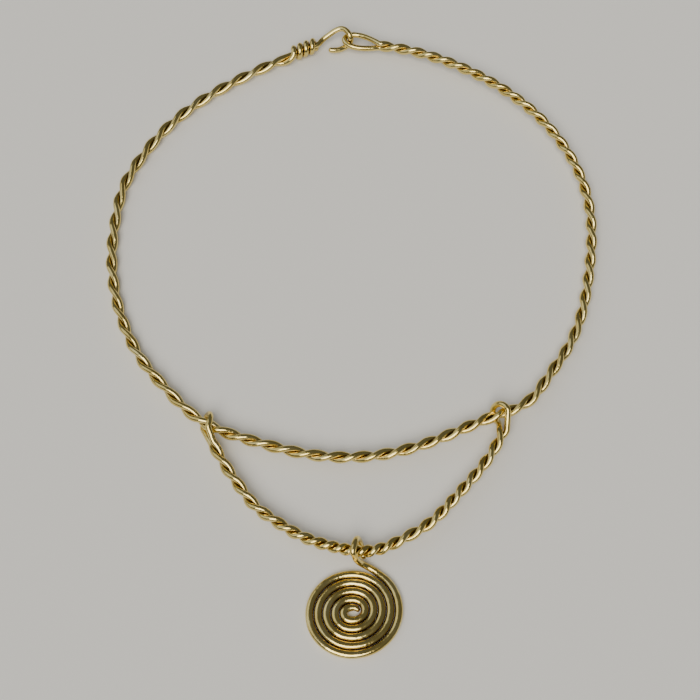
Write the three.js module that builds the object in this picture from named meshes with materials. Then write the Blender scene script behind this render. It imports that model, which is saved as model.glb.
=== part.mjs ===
// A gold torc, as it lies on a table: a neck ring of twisted wire that closes with a hook and an
// eye at the back, a twisted swag hung below its front, and a spiral pendant on the swag.
// Millimetres, +Z up. +X is the wearer's left as the torc lies front side up, and +Y is its back.
// Everything is worked out about the middle of the neck ring and moved to the table at the end.

import * as THREE from "three";

// The wire of the ring and the swag, drawn here with six sides
const WIRE_CORNER = 0.755; // from the middle of the wire to its corners
const STRAND_OFFSET = 0.875; // from the middle of a rope to the middle of each of its two strands
const ROPE_RADIUS = STRAND_OFFSET + WIRE_CORNER;
const GAP = 0.36; // between pieces that hang on one another

// The neck ring: a circle, pressed in at a few places by the hands that bent it.
// "at" and "spread" are degrees, "out" is millimetres, "flatness" squares off the bend's ends.
const RING_RADIUS = 66.7;
const RING_BENDS = [
  { at: -85, spread: 33, out: -3.7, flatness: 6 }, // the front, between the swag's eyes
  { at: -21, spread: 36, out: -2.7, flatness: 2 }, // the side beyond the swag
  { at: 62, spread: 22, out: -2.3, flatness: 2 }, // beside the eye
  { at: 99, spread: 9, out: 1.9, flatness: 2 }, // under the wraps
  { at: 120, spread: 18, out: -3.6, flatness: 2 }, // beside the hook
];
const HOOK_SIDE = 106; // where the twist starts, in degrees
const EYE_SIDE = 443.5; // where it ends, one way round
const RING_TURNS = 33.75;
const RING_STEPS_PER_TURN = 6.6;
const RING_TIGHTENING = 0.167; // the share of the turns that builds up towards the eye

// How the ring lies: one side on the table, its front on the swag, the eye's side sprung up
const RING_LIFTS = [
  { at: -90, spread: 58, out: 2.0, flatness: 6 },
  { at: 58, spread: 42, out: 3.0, flatness: 2 },
];

// The clasp. The wraps go round the strand that becomes the hook.
const WRAP_TURNS = 3.7;
const WRAP_PITCH = 1.95;
const WRAP_STEPS_PER_TURN = 10;
const UNLAYING = 0.02; // the share of the ring over which the strands part for the wraps
const EYE_LENGTH = 10.7;
const EYE_HALF_WIDTH = 2.1;
const EYE_STEPS = 14;
const EYE_TURN = 7; // degrees outwards from the line of the ring
// The hook from the wraps to its tip, measured from the eye's neck: along it, outwards, up
const HOOK = [
  [16.8, -1.6, -0.75],
  [15.2, -0.2, 0.1],
  [13.6, 1.1, 1.0],
  [12.0, 1.8, 1.65],
  [10.6, 1.5, 1.85],
  [9.5, 0.7, 1.75],
  [8.85, 0.05, 1.05],
  [8.7, -0.15, 0],
  [8.95, -0.3, -1.1],
  [9.8, -0.95, -1.85],
  [11.4, -2.0, -2.05],
  [13.3, -3.3, -1.9],
];

// The swag: a rope of the same wire, with an eye round the ring at each end
const SWAG_LEFT_EYE = -125.3; // where the eyes go round the ring, in degrees
const SWAG_RIGHT_EYE = -54.5;
const SWAG_EYE_RADIUS = ROPE_RADIUS + GAP + WIRE_CORNER;
const SWAG_EYE_SLANT = 1.3; // how far the top of an eye stands along the ring from its foot
const SWAG_TURNS = 12;
const SWAG_LAY = [0.74, 0.57, -0.31]; // the turns build up slowly, fast, then less fast
// Its curve: where the rope ends beside each eye, and what the curve is pulled towards
const SWAG_LEFT_END = [-36.2, -59.3];
const SWAG_LEFT_PULL = [-19.5, -93.5];
const SWAG_RIGHT_PULL = [15.9, -101.1];
const SWAG_RIGHT_END = [37.4, -57.2];
const SWAG_STEPS_PER_TURN = 7;
const SWAG_EYE_STEPS = 9;
const SWAG_SEAM = 0.0015; // half the gap between the wire's two ends, as a share of the turns

// The pendant: a thicker wire, beaten a little flat, coiled from its inner tip
const FLAT_HALF_HEIGHT = 0.85;
const FLAT_HALF_WIDTH = 0.97;
const SPIRAL_CENTRE = [-0.9, -102.6];
const SPIRAL_RADIUS = 11.45; // at the outer end of the last turn
const SPIRAL_PITCH = 2.06;
const SPIRAL_START = 63; // degrees at the inner tip
const SPIRAL_END = 1845;
const SPIRAL_STEP = 18; // the same in every turn, so that the turns run side by side
const LOOP_RADIUS = ROPE_RADIUS + GAP + FLAT_HALF_HEIGHT;
const LOOP_OFF_TABLE = 0.1; // so that the torc rests on the flat of the spiral
const LOOP_AT = 0.505; // the share of the swag where the pendant hangs
const LOOP_LEAN = 2.6; // how far its foot stands along the swag from its top
// The neck from the end of the spiral up to the loop, measured from the spiral's middle
const NECK = [
  [6.9, 9.3, 0.855],
  [5.6, 10.3, 0.87],
  [4.3, 11.0, 1.0],
  [3.1, 11.5, 1.4],
  [2.1, 11.85, 2.15],
  [1.3, 11.95, 3.2],
  [0.75, 12.1, 4.5],
  [0.5, 12.6, 5.7],
];

const radians = THREE.MathUtils.degToRad;
const UP = new THREE.Vector3(0, 0, 1);

// A curve that a wire is swept along in steps from each of its points to the next
class WireRoute extends THREE.CatmullRomCurve3 {
  getPointAt(share) {
    return this.getPoint(share);
  }

  getTangentAt(share) {
    return this.getTangent(share);
  }
}

function sweep(points, halfHeight, halfWidth) {
  const corners = [];
  for (let side = 0; side < 6; side += 1) {
    const angle = radians(60 * side);
    const tall = halfHeight / Math.sin(radians(60));
    corners.push(new THREE.Vector2(tall * Math.sin(angle), halfWidth * Math.cos(angle)));
  }
  return new THREE.ExtrudeGeometry(new THREE.Shape(corners), {
    extrudePath: new WireRoute(points),
    steps: points.length - 1,
    bevelEnabled: false,
  });
}

function roundWire(points) {
  return sweep(points, WIRE_CORNER * Math.sin(radians(60)), WIRE_CORNER);
}

function bendAt(degrees, bends) {
  let out = 0;
  for (const bend of bends) {
    const away = THREE.MathUtils.euclideanModulo(degrees - bend.at + 180, 360) - 180;
    out += bend.out * Math.exp(-(Math.abs(away / bend.spread) ** bend.flatness));
  }
  return out;
}

// The middle of the neck ring's rope
function ringPoint(degrees) {
  const radius = RING_RADIUS + bendAt(degrees, RING_BENDS);
  const height = ROPE_RADIUS + bendAt(degrees, RING_LIFTS);
  const angle = radians(degrees);
  return new THREE.Vector3(radius * Math.cos(angle), radius * Math.sin(angle), height);
}

function outwardAt(degrees) {
  return new THREE.Vector3(Math.cos(radians(degrees)), Math.sin(radians(degrees)), 0);
}

function alongAt(degrees) {
  return UP.clone().cross(outwardAt(degrees));
}

// A point beside a rope: turned outwards at 0 turns and upwards at a quarter
function beside(middle, outward, turns, distance) {
  const angle = 2 * Math.PI * turns;
  const point = middle.clone().addScaledVector(outward, distance * Math.cos(angle));
  return point.addScaledVector(UP, distance * Math.sin(angle));
}

// The share of a rope at which its twist has built up to "wanted" turns
function shareAt(turnsAt, wanted) {
  let low = 0;
  let high = 1;
  for (let halving = 0; halving < 30; halving += 1) {
    const middle = (low + high) / 2;
    if (turnsAt(middle) < wanted) {
      low = middle;
    } else {
      high = middle;
    }
  }
  return (low + high) / 2;
}

function ringTurns(share) {
  return RING_TURNS * share * (1 - RING_TIGHTENING + RING_TIGHTENING * share);
}

// The ring's twist ends with one strand straight above the other, where the eye opens
const RING_PHASE = 0.25 - RING_TURNS;

function ringStrand(half) {
  const points = [];
  const steps = Math.round(RING_TURNS * RING_STEPS_PER_TURN);
  for (let step = 0; step <= steps; step += 1) {
    const turns = (RING_TURNS * step) / steps;
    const share = shareAt(ringTurns, turns);
    const degrees = HOOK_SIDE + share * (EYE_SIDE - HOOK_SIDE);
    const laid = THREE.MathUtils.smoothstep(share, 0, UNLAYING);
    const distance = half === 0 ? 2 - laid : laid;
    const phase = RING_PHASE + turns + half / 2;
    const middle = ringPoint(degrees);
    points.push(beside(middle, outwardAt(degrees), phase, distance * STRAND_OFFSET));
  }
  return points;
}

// The wraps, from the cut end of the strand to where the twist takes over
function wraps() {
  const points = [];
  const steps = Math.round(WRAP_TURNS * WRAP_STEPS_PER_TURN);
  for (let step = steps; step > 0; step -= 1) {
    const turns = (WRAP_TURNS * step) / steps;
    const degrees = HOOK_SIDE - THREE.MathUtils.radToDeg((turns * WRAP_PITCH) / RING_RADIUS);
    const phase = RING_PHASE - turns;
    points.push(beside(ringPoint(degrees), outwardAt(degrees), phase, 2 * STRAND_OFFSET));
  }
  return points;
}

// A place beside the eye, which is turned a little outwards from the line of the ring
function fromEye(along, out, up) {
  const facing = EYE_SIDE - EYE_TURN;
  const point = ringPoint(EYE_SIDE).addScaledVector(alongAt(facing), along);
  return point.addScaledVector(outwardAt(facing), out).addScaledVector(UP, up);
}

// The eye: a drop-shaped loop that starts and ends where the two strands cross
function eye() {
  const points = [];
  const widest = 0.77; // of the drop formula below
  for (let step = 1; step < EYE_STEPS; step += 1) {
    const angle = (2 * Math.PI * step) / EYE_STEPS;
    const along = (EYE_LENGTH * (1 - Math.cos(angle))) / 2;
    const out = (EYE_HALF_WIDTH / widest) * Math.sin(angle) * Math.sin(angle / 2);
    const up = STRAND_OFFSET * Math.cos(angle / 2) ** 3;
    points.push(fromEye(along, out, up));
  }
  return points;
}

// One wire: wraps, a strand round to the eye, the other strand back, then the hook
function neckWire() {
  const core = [1.3, 2.6, 3.9].map((turns) => {
    return ringPoint(HOOK_SIDE - THREE.MathUtils.radToDeg((turns * WRAP_PITCH) / RING_RADIUS));
  });
  const hook = HOOK.map(([along, out, up]) => fromEye(along, out, up));
  return [
    ...wraps(),
    ...ringStrand(0),
    ...eye(),
    ...ringStrand(1).reverse(),
    ...core,
    ...hook,
  ];
}

// An eye of the swag goes over the ring, down behind it and back under it
function swagEye(degrees, steps) {
  const points = [];
  for (let step = 0; step <= steps; step += 1) {
    const angle = radians(60 + (240 * step) / steps);
    const middle = ringPoint(degrees);
    middle.addScaledVector(alongAt(degrees), SWAG_EYE_SLANT * Math.sin(angle));
    points.push(beside(middle, outwardAt(degrees), angle / (2 * Math.PI), SWAG_EYE_RADIUS));
  }
  return points;
}

// The swag is level with the ring at its eyes, and its middle is held up by the pendant's loop
const SWAG_END_HEIGHT = ringPoint(SWAG_LEFT_EYE).z;
const SWAG_MIDDLE_HEIGHT = LOOP_RADIUS + FLAT_HALF_WIDTH + LOOP_OFF_TABLE;
const SWAG_PULL_HEIGHT = (4 * SWAG_MIDDLE_HEIGHT - SWAG_END_HEIGHT) / 3;
const SWAG_CURVE = new THREE.CubicBezierCurve3(
  new THREE.Vector3(...SWAG_LEFT_END, SWAG_END_HEIGHT),
  new THREE.Vector3(...SWAG_LEFT_PULL, SWAG_PULL_HEIGHT),
  new THREE.Vector3(...SWAG_RIGHT_PULL, SWAG_PULL_HEIGHT),
  new THREE.Vector3(...SWAG_RIGHT_END, SWAG_END_HEIGHT),
);

function swagTurns(share) {
  const [first, second, third] = SWAG_LAY;
  return SWAG_TURNS * share * (first + share * (second + share * third));
}

function swagStrand(half, from, to) {
  const points = [];
  const steps = Math.round(Math.abs(to - from) * SWAG_TURNS * SWAG_STEPS_PER_TURN);
  for (let step = 0; step <= steps; step += 1) {
    const turns = SWAG_TURNS * (from + ((to - from) * step) / steps);
    const share = shareAt(swagTurns, turns);
    const outward = SWAG_CURVE.getTangent(share).cross(UP).normalize();
    const middle = SWAG_CURVE.getPoint(share);
    points.push(beside(middle, outward, 0.25 + turns + half / 2, STRAND_OFFSET));
  }
  return points;
}

// One wire, bent into a long loop and twisted. Its two ends meet under the pendant's loop.
function swagWire() {
  return [
    ...swagStrand(0, 0.5 - SWAG_SEAM, 0),
    ...swagEye(SWAG_LEFT_EYE, SWAG_EYE_STEPS),
    ...swagStrand(1, 0, 1),
    ...swagEye(SWAG_RIGHT_EYE, SWAG_EYE_STEPS).reverse(),
    ...swagStrand(0, 1, 0.5 + SWAG_SEAM),
  ];
}

function spiralPoint(degrees) {
  const turnsToGo = (SPIRAL_END - degrees) / 360;
  const radius = SPIRAL_RADIUS - turnsToGo * SPIRAL_PITCH;
  const [x, y] = SPIRAL_CENTRE;
  return new THREE.Vector3(
    x + radius * Math.cos(radians(degrees)),
    y + radius * Math.sin(radians(degrees)),
    FLAT_HALF_HEIGHT,
  );
}

// The loop goes over the swag, down behind it and back under it
function pendantLoop(steps) {
  const points = [];
  for (let step = 0; step <= steps; step += 1) {
    const share = step / steps;
    const middle = SWAG_CURVE.getPoint(LOOP_AT);
    middle.x += LOOP_LEAN * share;
    points.push(beside(middle, new THREE.Vector3(0, -1, 0), 0.17 + 0.66 * share, LOOP_RADIUS));
  }
  return points;
}

function pendantWire() {
  const points = [];
  for (let degrees = SPIRAL_START; degrees <= SPIRAL_END; degrees += SPIRAL_STEP) {
    points.push(spiralPoint(degrees));
  }
  const [x, y] = SPIRAL_CENTRE;
  const neck = NECK.map(([right, back, up]) => new THREE.Vector3(x + right, y + back, up));
  return [...points, ...neck, ...pendantLoop(10)];
}

const gold = new THREE.MeshStandardMaterial({ color: 0xc9a84a, roughness: 0.25, metalness: 1 });
const pieces = {
  neck_ring: roundWire(neckWire()),
  swag: roundWire(swagWire()),
  pendant: sweep(pendantWire(), FLAT_HALF_HEIGHT, FLAT_HALF_WIDTH),
};

const torc = new THREE.Group();
for (const [name, geometry] of Object.entries(pieces)) {
  const piece = new THREE.Mesh(geometry, gold);
  piece.name = name;
  torc.add(piece);
}

// The middle of the torc's outline on the table is its origin
const box = new THREE.Box3().setFromObject(torc);
const middle = box.getCenter(new THREE.Vector3());
torc.position.set(-middle.x, -middle.y, -box.min.z);

export default torc;
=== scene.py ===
"""A gold torc of twisted wire with a spiral pendant, lying on a pale table.

The frame gives where the torc lies. Sizes here are millimetres about the middle of the neck
ring, as a goldsmith would measure it, and each finished wire is set down in the frame in metres.
"""

import math

import bpy
import numpy as np
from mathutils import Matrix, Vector
from mathutils.kdtree import KDTree


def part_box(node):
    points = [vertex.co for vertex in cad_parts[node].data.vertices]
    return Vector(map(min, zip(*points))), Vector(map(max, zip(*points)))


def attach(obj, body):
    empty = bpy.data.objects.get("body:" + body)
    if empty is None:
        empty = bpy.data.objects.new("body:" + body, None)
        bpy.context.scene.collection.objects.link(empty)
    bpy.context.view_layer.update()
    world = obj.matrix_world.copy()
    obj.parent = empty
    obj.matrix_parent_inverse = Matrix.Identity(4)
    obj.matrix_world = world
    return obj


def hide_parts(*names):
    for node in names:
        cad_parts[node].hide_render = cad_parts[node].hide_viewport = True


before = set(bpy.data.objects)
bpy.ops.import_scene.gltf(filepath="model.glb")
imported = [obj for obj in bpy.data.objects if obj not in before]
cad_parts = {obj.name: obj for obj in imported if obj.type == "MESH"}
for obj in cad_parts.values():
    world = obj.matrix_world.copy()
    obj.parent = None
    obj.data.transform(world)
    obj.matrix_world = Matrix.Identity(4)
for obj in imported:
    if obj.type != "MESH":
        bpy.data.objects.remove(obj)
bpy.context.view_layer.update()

MM = 0.001

# ---------------------------------------------------------------- sizes

WIRE_RADIUS = 0.8  # the drawn wire of the ring and the swag
STRAND_OFFSET = 0.815  # from a rope's middle to the middle of each strand
ROPE_RADIUS = 1.63  # half of what a rope stands off the table

RING_RADIUS = 66.43
RING_BENDS = [  # at and spread in degrees, out in millimetres, flatness of the bend's ends
    (-87.6, 32.8, -2.8, 6),
    (-51.7, 31, -2.64, 2),
    (61.5, 26, -2.37, 2),
    (119.8, 25.8, -2.97, 2),
    (-46.5, 6.5, 1.44, 2),
    (-8, 17.8, -2.2, 2),
    (163.9, 7.3, 0.67, 2),
    (-138.3, 6.7, -0.46, 2),
    (99, 9, 1.9, 2),
]
RING_LIFTS = [(-90, 58, 2.0, 6), (58, 42, 3.0, 2)]
HOOK_SIDE = 106
EYE_SIDE = 443.5
RING_TURNS = 32.857
RING_STEPS_PER_TURN = 38
RING_TIGHTENING = 0.187
RING_SLIPS = [  # where the lay runs ahead or behind: at and spread in degrees, turns
    (413.4, 82.3, -0.779),
    (429.4, 41.3, 0.771),
    (230.5, 11.8, -0.106),
]
RING_PHASE = 0.25 - RING_TURNS
UNLAYING = 0.02

WRAP_TURNS = 3.7
WRAP_PITCH = 1.95
WRAP_STATIONS = 120
CORE_AT = (1.3, 2.6, 3.9)  # stations of the strand inside the wraps, in wraps from their start
EYE_LENGTH = 10.7
EYE_HALF_WIDTH = 2.1
EYE_CURVE_WIDTH = 0.77  # half width of the curve that gives the eye its shape, before scaling
EYE_STATIONS = 66
EYE_TURN = 7
HOOK = [  # from the eye's neck: along the ring, out and up
    (16.9, -1.2, -0.75),
    (15.3, 0.3, 0.1),
    (13.8, 1.5, 1.0),
    (12.1, 2.15, 1.65),
    (10.6, 1.75, 1.85),
    (9.5, 0.8, 1.75),
    (8.85, 0.05, 1.05),
    (8.7, -0.15, 0),
    (8.95, -0.35, -1.1),
    (9.8, -1.15, -1.85),
    (11.4, -2.5, -2.05),
    (13.2, -3.35, -1.9),
    (14.6, -3.5, -1.85),
]

SWAG_LEFT_EYE = -125.3
SWAG_RIGHT_EYE = -53.8
SWAG_EYE_RADIUS = 2.6
SWAG_EYE_UNDER = 290  # where each eye starts and ends round the ring, in degrees
SWAG_EYE_OVER = 70
SWAG_EYE_STATIONS = 45
SWAG_LEFT_SLANT = (1.2, 1.1)  # along the ring at the eye's top, and between its two sides
SWAG_RIGHT_SLANT = (1.4, 0.1)
SWAG_LEG_SPREAD = 0.2  # how far each leg moves out where the legs open at the right end
SWAG_TURNS = 11.5
SWAG_STEPS_PER_TURN = 40
SWAG_SEAM = 0.499  # share of the swag at which its wire is closed
SWAG_LAY = (0.786, 0.217, -0.003)
SWAG_SLIPS = [(0.599, 0.121, 0.459)]  # share of the swag, spread, turns
SWAG_PHASE = 0.313
SWAG_RIGHT_OPENS = 0.992  # share at which the double wire starts to open at the right end
SWAG_RIGHT_LEAD = 1.012  # and at which its legs part round the ring
SWAG_LEFT_END = (-36.37, -59.27)
SWAG_LEFT_PULL = (-19.09, -93.96)
SWAG_RIGHT_PULL = (16.25, -99.44)
SWAG_RIGHT_END = (35.04, -56.2)
SWAG_BENDS = [  # share of the swag, spread, out in millimetres
    (0.57, 0.09, 1.08),
    (0.19, 0.05, 0.5),
    (0.75, 0.07, 0.53),
    (1.0, 0.11, 2.26),
]

FLAT_HALF_HEIGHT = 0.9  # the pendant's wire where it is coiled and lightly beaten
FLAT_HALF_WIDTH = 0.98
LOOP_WIRE_RADIUS = 0.82  # and where it is still round
SPIRAL_CENTRE = (-0.9, -102.24)
SPIRAL_RADIUS = 11.47
SPIRAL_PITCH = 2.083
SPIRAL_OVAL = 0.29  # the inmost turn is a little long, and every turn round it follows
SPIRAL_OVAL_AT = 16.3
SPIRAL_END = 1845
SPIRAL_STEP = 4.0
SPIRAL_TIP = 0
SPIRAL_TIP_RADIUS = 1.36
SPIRAL_TIP_EASES_TO = 120  # degrees by which the tip has run into the even spiral
LOOP_RADIUS = 2.84
LOOP_AT = 0.505
LOOP_LEAN = 2.9
LOOP_START = 0.17  # in turns round the swag
LOOP_SWEEP = 0.66
LOOP_STATIONS = 11
LOOP_OFF_TABLE = 0.1
NECK = [
    (6.9, 9.3, 0.855),
    (5.6, 10.3, 0.87),
    (4.3, 11.05, 1.05),
    (3.1, 11.55, 1.55),
    (2.1, 11.85, 2.4),
    (1.4, 12.05, 3.5),
    (0.85, 12.4, 4.75),
    (0.6, 13.1, 5.85),
]

WANDER_HEIGHT = 1.83  # the most that the three waves of an unevenness add up to
UP = np.array([0.0, 0.0, 1.0])

CAMERA_AT = (-1.4, -191.58, 343.5)
CAMERA_AIM = (-1.4, -31.41, 0)

# ---------------------------------------------------------------- where the ropes run


def bend_at(degrees, bends):
    out = np.zeros_like(degrees, dtype=float)
    for at, spread, distance, flatness in bends:
        away = (degrees - at + 180) % 360 - 180
        out += distance * np.exp(-(np.abs(away / spread) ** flatness))
    return out


def ring_points(degrees):
    """The middle of the neck ring's rope."""
    degrees = np.asarray(degrees, dtype=float)
    radius = RING_RADIUS + bend_at(degrees, RING_BENDS)
    height = ROPE_RADIUS + bend_at(degrees, RING_LIFTS)
    angle = np.radians(degrees)
    return np.stack([radius * np.cos(angle), radius * np.sin(angle), height], axis=-1)


def bump(value, places):
    """A total of smooth rises, each given as where it is, how far it spreads and how high."""
    total = np.zeros_like(value, dtype=float)
    for at, spread, height in places:
        total += height * np.exp(-(((value - at) / spread) ** 2))
    return total


def outward_at(degrees):
    angle = np.radians(np.asarray(degrees, dtype=float))
    return np.stack([np.cos(angle), np.sin(angle), np.zeros_like(angle)], axis=-1)


def along_at(degrees):
    return np.cross(UP, outward_at(degrees))


def beside(middle, outward, turns, distance):
    """Points beside a rope: outwards at 0 turns, upwards at a quarter."""
    angle = 2 * math.pi * np.asarray(turns)
    distance = np.asarray(distance, dtype=float)
    out = (distance * np.cos(angle))[..., None] * outward
    return middle + out + (distance * np.sin(angle))[..., None] * UP


def smooth_step(value, low, high):
    share = np.clip((value - low) / (high - low), 0, 1)
    return share * share * (3 - 2 * share)


def wander(along, wavelength, seed):
    """A slow unevenness between -1 and 1, such as a hand leaves in wire."""
    total = np.zeros_like(along, dtype=float)
    for part, stretch in enumerate((1.0, 0.61, 0.37)):
        start = math.sin(seed * 12.9898 + part * 78.233) * 43.7
        total += np.sin(2 * math.pi * along / (wavelength * stretch) + start) / (part + 1)
    return total / WANDER_HEIGHT


def through(points, per_piece):
    """A smooth curve through given points."""
    points = np.asarray(points, dtype=float)
    ends = np.vstack([2 * points[0] - points[1], points, 2 * points[-1] - points[-2]])
    curve = []
    for a, b, c, d in zip(ends, ends[1:], ends[2:], ends[3:]):
        for step in range(per_piece):
            t = step / per_piece
            curve.append(
                0.5 * (2 * b + (c - a) * t + (2 * a - 5 * b + 4 * c - d) * t**2
                       + (3 * b - 3 * c + d - a) * t**3)
            )
    curve.append(points[-1])
    return np.array(curve)


# ---------------------------------------------------------------- the three wires


def ring_strand(half):
    steps = int(RING_TURNS * RING_STEPS_PER_TURN)
    share = np.linspace(0, 1, steps + 1)
    turns = RING_TURNS * share * (1 - RING_TIGHTENING + RING_TIGHTENING * share)
    degrees = HOOK_SIDE + share * (EYE_SIDE - HOOK_SIDE)
    turns += bump(degrees, RING_SLIPS)
    laid = smooth_step(share, 0, UNLAYING)
    distance = STRAND_OFFSET * (2 - laid if half == 0 else laid)
    phase = RING_PHASE + turns + half / 2
    middle = ring_points(degrees)
    return beside(middle, outward_at(degrees), phase, distance)


def from_eye(places):
    places = np.asarray(places, dtype=float)
    facing = EYE_SIDE - EYE_TURN
    point = ring_points(EYE_SIDE) + places[:, :1] * along_at(facing)
    return point + places[:, 1:2] * outward_at(facing) + places[:, 2:] * UP


def neck_wire():
    """Wraps, a strand round to the eye, the other strand back, then the hook."""
    turns = np.linspace(WRAP_TURNS, 0, WRAP_STATIONS, endpoint=False)
    degrees = HOOK_SIDE - np.degrees(turns * WRAP_PITCH / RING_RADIUS)
    wraps = beside(ring_points(degrees), outward_at(degrees), RING_PHASE - turns,
                   np.full_like(turns, 2 * STRAND_OFFSET))
    angle = np.linspace(0, 2 * math.pi, EYE_STATIONS)[1:-1]
    eye = from_eye(np.stack([
        EYE_LENGTH * (1 - np.cos(angle)) / 2,
        EYE_HALF_WIDTH / EYE_CURVE_WIDTH * np.sin(angle) * np.sin(angle / 2),
        STRAND_OFFSET * np.cos(angle / 2) ** 3,
    ], axis=-1))
    core = ring_points(HOOK_SIDE - np.degrees(np.array(CORE_AT) * WRAP_PITCH / RING_RADIUS))
    back = ring_strand(1)[::-1]
    hook = through(np.vstack([back[-1:], core, from_eye(HOOK)]), 8)
    return np.vstack([wraps, ring_strand(0), eye, back, hook[1:]])


def swag_middle(share):
    end_height = ring_points(SWAG_LEFT_EYE)[2]
    middle_height = LOOP_RADIUS + FLAT_HALF_WIDTH + LOOP_OFF_TABLE
    pull_height = (4 * middle_height - end_height) / 3
    a = np.array([*SWAG_LEFT_END, end_height])
    b = np.array([*SWAG_LEFT_PULL, pull_height])
    c = np.array([*SWAG_RIGHT_PULL, pull_height])
    d = np.array([*SWAG_RIGHT_END, end_height])
    t = np.asarray(share, dtype=float)[..., None]
    point = (1 - t) ** 3 * a + 3 * t * (1 - t) ** 2 * b + 3 * t**2 * (1 - t) * c + t**3 * d
    slope = (1 - t) ** 2 * (b - a) + 2 * t * (1 - t) * (c - b) + t**2 * (d - c)
    outward = np.cross(slope, UP)
    outward /= np.linalg.norm(outward, axis=-1, keepdims=True)
    return point + bump(t, SWAG_BENDS) * outward, outward


def swag_strand(half, start, end):
    steps = int(abs(end - start) * SWAG_TURNS * SWAG_STEPS_PER_TURN)
    share = np.linspace(start, end, steps + 1)
    first, second, third = SWAG_LAY
    turns = SWAG_TURNS * share * (first + share * (second + share * third))
    turns += bump(share, SWAG_SLIPS)
    middle, outward = swag_middle(share)
    opened = smooth_step(share, SWAG_RIGHT_OPENS, SWAG_RIGHT_LEAD)
    distance = STRAND_OFFSET + SWAG_LEG_SPREAD * opened
    return beside(middle, outward, SWAG_PHASE + turns + half / 2, distance)


def swag_eye(degrees, slants):
    """Round the ring from under it to over it, leaning along the ring."""
    angle = np.radians(np.linspace(SWAG_EYE_UNDER, SWAG_EYE_OVER, SWAG_EYE_STATIONS))
    slant = slants[0] * np.sin(angle) + slants[1] * np.cos(angle)
    middle = ring_points(degrees) + slant[:, None] * along_at(degrees)
    distance = np.full_like(angle, SWAG_EYE_RADIUS)
    return beside(middle, outward_at(degrees), angle / (2 * math.pi), distance)


def swag_wire():
    """One wire, bent into a long loop and twisted. Its ends meet under the pendant's loop."""
    parts = [
        swag_strand(0, SWAG_SEAM, 0),
        swag_eye(SWAG_LEFT_EYE, SWAG_LEFT_SLANT)[::-1],
        swag_strand(1, 0, SWAG_RIGHT_LEAD),
        swag_eye(SWAG_RIGHT_EYE, SWAG_RIGHT_SLANT),
        swag_strand(0, SWAG_RIGHT_LEAD, 1 - SWAG_SEAM),
    ]
    return np.vstack(parts)


def pendant_wire():
    """The spiral from its inner tip, the neck and the loop over the swag."""
    degrees = np.arange(SPIRAL_TIP, SPIRAL_END + 1, SPIRAL_STEP)
    radius = SPIRAL_RADIUS - (SPIRAL_END - degrees) / 360 * SPIRAL_PITCH
    radius += SPIRAL_OVAL * np.cos(np.radians(2 * (degrees - SPIRAL_OVAL_AT)))
    opening = 1 - smooth_step(degrees, SPIRAL_TIP, SPIRAL_TIP_EASES_TO)
    tip_gap = SPIRAL_TIP_RADIUS - radius[0]
    radius = radius + opening * tip_gap
    x, y = SPIRAL_CENTRE
    angle = np.radians(degrees)
    height = np.full_like(angle, FLAT_HALF_HEIGHT)
    spiral = np.stack([x + radius * np.cos(angle), y + radius * np.sin(angle), height], axis=-1)
    neck = np.array(NECK) + np.array([x, y, 0])
    share = np.linspace(0, 1, LOOP_STATIONS)
    middle, _ = swag_middle(np.full_like(share, LOOP_AT))
    middle[:, 0] += LOOP_LEAN * share
    loop = beside(middle, np.array([0.0, -1.0, 0.0]), LOOP_START + LOOP_SWEEP * share,
                  np.full_like(share, LOOP_RADIUS))
    rest = through(np.vstack([spiral[-1:], neck, loop]), 8)
    return np.vstack([spiral, rest[1:]])


# ---------------------------------------------------------------- wires as meshes


def running_length(points):
    return np.concatenate([[0], np.cumsum(np.linalg.norm(np.diff(points, axis=0), axis=1))])


def read_off(points, at):
    length = running_length(points)
    return np.stack([np.interp(at, length, points[:, k]) for k in range(3)], axis=-1)


def even_out(points, spacing, end_lengths):
    """The same line with even stations, softened where parts join, and closer at its ends."""
    whole = running_length(points)[-1]
    even = read_off(points, np.linspace(0, whole, int(whole / spacing) + 1))
    for _ in range(3):
        even[1:-1] = even[1:-1] / 2 + (even[:-2] + even[2:]) / 4
    length = running_length(even)
    first, last = end_lengths
    close = 1 - np.cos(np.linspace(0, math.pi / 2, 9))
    inside = length[(length > first * 1.1) & (length < length[-1] - last * 1.1)]
    at = np.concatenate([first * close, inside, (length[-1] - last * close)[::-1]])
    return read_off(even, at), at


def carried_frames(points):
    """A sideways and an upper direction at each station that turn no more than the wire does."""
    tangents = np.gradient(points, axis=0)
    tangents /= np.linalg.norm(tangents, axis=1, keepdims=True)
    side = np.cross(tangents[0], UP)
    sides = []
    for tangent in tangents:
        side = side - np.dot(side, tangent) * tangent
        side = side / np.linalg.norm(side)
        sides.append(side)
    sides = np.array(sides)
    return sides, np.cross(sides, tangents)


def rounded_end(along, length):
    """How much of its thickness a wire has near an end that is rounded over a length."""
    inwards = 1 - np.clip(along / length, 0, 1)
    return np.maximum(np.sqrt(1 - inwards**2), 0.03)


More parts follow.
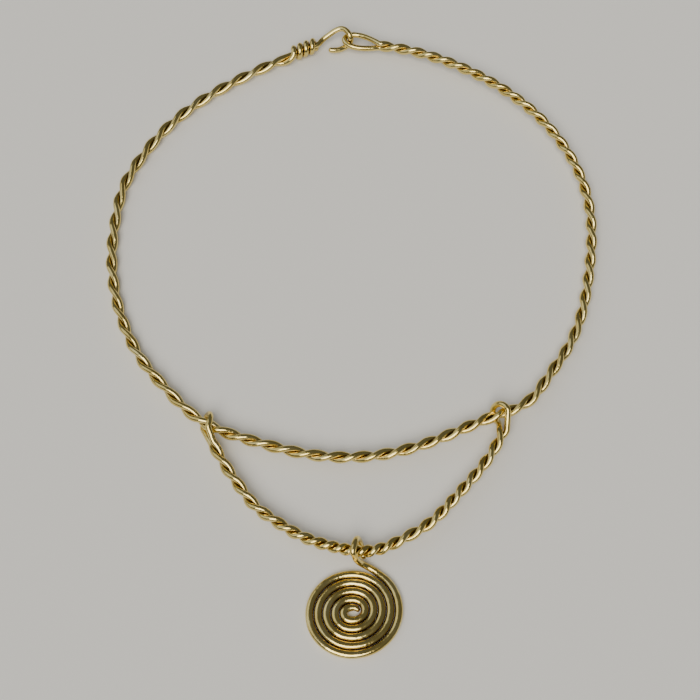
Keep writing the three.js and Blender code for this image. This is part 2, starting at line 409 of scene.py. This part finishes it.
def wire_mesh(name, points, along, half_width, half_height, squareness, around, end_lengths):
    """A closed wire with rounded ends. Its section may change along it."""
    across, over = carried_frames(points)
    angle = 2 * math.pi * np.arange(around) / around
    power = 2 / squareness
    wide = np.sign(np.cos(angle)) * np.abs(np.cos(angle))[None, :] ** power[:, None]
    tall = np.sign(np.sin(angle)) * np.abs(np.sin(angle))[None, :] ** power[:, None]
    ends = rounded_end(along, end_lengths[0]) * rounded_end(along[-1] - along, end_lengths[1])
    wide = wide * half_width[:, None]
    tall = tall * half_height[:, None]
    out = wide[:, :, None] * across[:, None, :] + tall[:, :, None] * over[:, None, :]
    rings = points[:, None, :] + out * ends[:, None, None]
    count = len(points)
    station = np.arange(count - 1)[:, None] * around
    here = np.arange(around)[None, :]
    following = (here + 1) % around
    quads = np.stack([station + here, station + around + here, station + around + following,
                      station + following], axis=-1).reshape(-1, 4)
    faces = quads.tolist()
    faces.append(list(range(around)))
    faces.append(list(range((count - 1) * around, count * around))[::-1])
    mesh = bpy.data.meshes.new(name)
    mesh.from_pydata((rings.reshape(-1, 3) * MM + PLACE).tolist(), [], faces)
    mesh.polygons.foreach_set("use_smooth", [True] * len(mesh.polygons))
    # where a point is on the wire if it were pulled straight: two across it and one along it
    lengthwise = np.broadcast_to(along[:, None], (count, around))
    straight = np.stack([wide, tall, lengthwise], axis=-1).reshape(-1, 3)
    layer = mesh.attributes.new("straight_wire", "FLOAT_VECTOR", "POINT")
    layer.data.foreach_set("vector", straight.astype(np.float32).ravel())
    return mesh, rings


def mark_grooves(mesh, rings, points, along, touching, clear):
    """Marks how near each place on the wire is to another turn: 1 where they touch, 0 clear; the
    gold takes its painted shade from this.
    """
    tree = KDTree(len(points))
    for index, point in enumerate(points):
        tree.insert(Vector(point), index)
    tree.balance()
    apart = 4 * touching
    groove = np.zeros(rings.shape[:2])
    for index, ring in enumerate(rings):
        for place, point in enumerate(ring):
            nearest = clear
            for _, other, distance in tree.find_range(Vector(point), clear):
                if distance < nearest and abs(along[other] - along[index]) > apart:
                    nearest = distance
            groove[index, place] = (clear - nearest) / (clear - touching)
    groove = np.clip(groove, 0, 1)
    layer = mesh.attributes.new("groove", "FLOAT", "POINT")
    layer.data.foreach_set("value", groove.astype(np.float32).ravel())


# ---------------------------------------------------------------- materials


def linear(code):
    """An sRGB hex colour as the linear colour that a shader takes."""
    channels = [int(code[k:k + 2], 16) / 255 for k in (0, 2, 4)]
    return tuple(c / 12.92 if c <= 0.04045 else ((c + 0.055) / 1.055) ** 2.4
                 for c in channels) + (1.0,)


def add_node(tree, kind, settings=None, values=None, links=None):
    """Adds a node, sets its properties and socket values, and links its inputs."""
    node = tree.nodes.new(kind)
    for key, value in (settings or {}).items():
        setattr(node, key, value)
    for key, value in (values or {}).items():
        node.inputs[key].default_value = value
    for key, socket in (links or {}).items():
        tree.links.new(socket, node.inputs[key])
    return node


def ramp(node, stops):
    elements = node.color_ramp.elements
    while len(elements) > 1:
        elements.remove(elements[-1])
    elements[0].position, elements[0].color = stops[0]
    for place, colour in stops[1:]:
        elements.new(place).color = colour
    return node


def drawn_gold(name, surface, groove_shade_and_soil_tint, roughness):
    """Gold with some silver in it, drawn to wire and polished by handling.

    The eye gets narrow bright glints, fine lines along the wire, and painted shade with a little
    soil in the grooves.
    """
    material = bpy.data.materials.new(name)
    material.use_nodes = True
    tree = material.node_tree
    tree.nodes.clear()
    place = add_node(tree, "ShaderNodeAttribute", {"attribute_name": "straight_wire"})
    groove = add_node(tree, "ShaderNodeAttribute", {"attribute_name": "groove"})

    # draw lines: about 0.12 mm apart across the wire, running for several millimetres along it
    lines_at = add_node(tree, "ShaderNodeMapping", values={"Scale": (8.0, 8.0, 0.25)},
                        links={"Vector": place.outputs["Vector"]})
    lines = add_node(tree, "ShaderNodeTexNoise", values={"Scale": 1.0, "Detail": 3.0},
                     links={"Vector": lines_at.outputs["Vector"]})
    # dents: soft and a millimetre or two long
    dents = add_node(tree, "ShaderNodeTexNoise", values={"Scale": 0.55, "Detail": 2.0},
                     links={"Vector": place.outputs["Vector"]})
    # colour drifts slowly along the wire
    drift = add_node(tree, "ShaderNodeTexNoise", values={"Scale": 0.16, "Detail": 2.0},
                     links={"Vector": place.outputs["Vector"]})

    gold = ramp(add_node(tree, "ShaderNodeValToRGB", links={"Fac": drift.outputs["Fac"]}),
                [(0.3, linear(surface[0])), (0.5, linear(surface[1])), (0.7, linear(surface[2]))])
    # painted shade: a warm dark tint, with a little soil, mixed in by how near another turn is
    tinted = add_node(tree, "ShaderNodeMix", {"data_type": "RGBA"},
                      values={"B": linear(groove_shade_and_soil_tint)},
                      links={"Factor": groove.outputs["Fac"], "A": gold.outputs["Color"]})
    rough = add_node(tree, "ShaderNodeMapRange",
                     values={"From Min": 0.3, "From Max": 0.7, "To Min": roughness - 0.05,
                             "To Max": roughness + 0.09},
                     links={"Value": lines.outputs["Fac"]})
    low_bump = add_node(tree, "ShaderNodeBump", values={"Strength": 0.35, "Distance": 0.0003},
                        links={"Height": dents.outputs["Fac"]})
    bump = add_node(tree, "ShaderNodeBump", values={"Strength": 0.25, "Distance": 0.00005},
                    links={"Height": lines.outputs["Fac"], "Normal": low_bump.outputs["Normal"]})
    shader = add_node(tree, "ShaderNodeBsdfPrincipled", values={"Metallic": 1.0},
                      links={"Base Color": tinted.outputs["Result"],
                             "Roughness": rough.outputs["Result"],
                             "Normal": bump.outputs["Normal"]})
    add_node(tree, "ShaderNodeOutputMaterial", links={"Surface": shader.outputs["BSDF"]})
    return material


def matt_table():
    """A smooth pale painted board: an even ground that takes the soft shadows."""
    material = bpy.data.materials.new("matt_pale_board")
    material.use_nodes = True
    tree = material.node_tree
    shader = tree.nodes["Principled BSDF"]
    shader.inputs["Base Color"].default_value = linear("efeeea")
    shader.inputs["Roughness"].default_value = 0.85
    return material


# ---------------------------------------------------------------- the pieces

neck_line = neck_wire()
ring_low, ring_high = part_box("neck_ring")
PLACE = (np.array(ring_low) + np.array(ring_high)) / 2
PLACE -= (neck_line.min(axis=0) + neck_line.max(axis=0)) / 2 * MM
PLACE[2] = 0  # heights are already measured from the table


def place_wire(node, line, spacing, around, shape, ends, touching, clear, material):
    """Makes one piece from its line. shape(along) gives half width, half height, squareness.

    Stations are spacing apart, and the ends are rounded over the two lengths in ends. Touching
    and clear are how far a surface is from another turn's middle at those two states.
    """
    points, along = even_out(line, spacing, ends)
    half_width, half_height, squareness = shape(along)
    mesh, rings = wire_mesh(node + "_wire", points, along, half_width, half_height, squareness,
                            around, ends)
    mark_grooves(mesh, rings, points, along, touching, clear)
    mesh.materials.append(material)
    piece = bpy.data.objects.new(node + "_wire", mesh)
    bpy.context.scene.collection.objects.link(piece)
    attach(piece, "root")
    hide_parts(node)
    return piece


def drawn_round(along):
    radius = WIRE_RADIUS * (1 + 0.012 * wander(along, 23, 3) + 0.008 * wander(along, 5.5, 4))
    return radius, radius * (1 + 0.012 * wander(along, 14, 5)), np.full_like(along, 2.0)


def beaten_pendant(along):
    """Slightly flattened where it is coiled, round again at the loop, thin at the inner tip."""
    tip = 0.62 + 0.38 * smooth_step(along, -0.5, 3.5)
    whole = along[-1]
    round_again = smooth_step(along, whole - 26, whole - 18)
    width = FLAT_HALF_WIDTH * (1 - round_again) + LOOP_WIRE_RADIUS * round_again
    height = FLAT_HALF_HEIGHT * (1 - round_again) + LOOP_WIRE_RADIUS * round_again
    width = width * tip * (1 + 0.012 * wander(along, 17, 7))
    height = height * (0.35 + 0.65 * tip)
    return width, height, 2.1 - 0.1 * round_again


# 8a5c14 is painted shade, with a little soil, in the grooves where turns touch
wire_gold = drawn_gold("drawn_wire_of_silvery_gold", ("dcc26e", "e6d080", "f0de98"),
                       "8a5c14", 0.15)
place_wire("neck_ring", neck_line, spacing=0.36, around=20, shape=drawn_round,
           ends=(0.5, 0.7), touching=0.83, clear=1.35, material=wire_gold)
place_wire("swag", swag_wire(), spacing=0.3, around=20, shape=drawn_round,
           ends=(0.1, 0.1), touching=0.83, clear=1.35, material=wire_gold)
place_wire("pendant", pendant_wire(), spacing=0.32, around=28, shape=beaten_pendant,
           ends=(0.7, 0.6), touching=1.1, clear=1.6, material=wire_gold)

# ---------------------------------------------------------------- table, light and camera


def flat_board(name, size):
    half = size / 2
    corners = [(-half, -half, 0), (half, -half, 0), (half, half, 0), (-half, half, 0)]
    mesh = bpy.data.meshes.new(name)
    mesh.from_pydata(corners, [], [(0, 1, 2, 3)])
    board = bpy.data.objects.new(name, mesh)
    bpy.context.scene.collection.objects.link(board)
    return board


table = flat_board("table", 40.0)
table.data.materials.append(matt_table())


def wide_light(name, azimuth, elevation, across, strength, colour):
    """A soft light far away, so wide that it shows as a broad glint. Azimuth 0 is straight back."""
    light = bpy.data.lights.new(name, "SUN")
    light.angle = math.radians(across)
    light.energy = strength
    light.color = linear(colour)[:3]
    lamp = bpy.data.objects.new(name, light)
    turn, rise = math.radians(azimuth), math.radians(elevation)
    towards = Vector((math.sin(turn) * math.cos(rise), math.cos(turn) * math.cos(rise),
                      math.sin(rise)))
    lamp.rotation_euler = towards.to_track_quat("Z", "Y").to_euler()
    bpy.context.scene.collection.objects.link(lamp)


wide_light("soft_box_in_front", -165, 55, 46, 2.5, "fffaf0")
wide_light("window_on_the_left", -75, 42, 60, 0.6, "f6faff")

world = bpy.data.worlds.new("dim_room")
world.use_nodes = True
world.node_tree.nodes["Background"].inputs["Color"].default_value = linear("f4f6f8")
world.node_tree.nodes["Background"].inputs["Strength"].default_value = 0.13
bpy.context.scene.world = world

eye = bpy.data.cameras.new("camera")
eye.lens = 73.54
eye.sensor_width = 36
camera = bpy.data.objects.new("camera", eye)
camera.location = PLACE + np.array(CAMERA_AT) * MM
look_at = Vector(PLACE + np.array(CAMERA_AIM) * MM)
camera.rotation_euler = (look_at - camera.location).to_track_quat("-Z", "Y").to_euler()
bpy.context.scene.collection.objects.link(camera)
bpy.context.scene.camera = camera
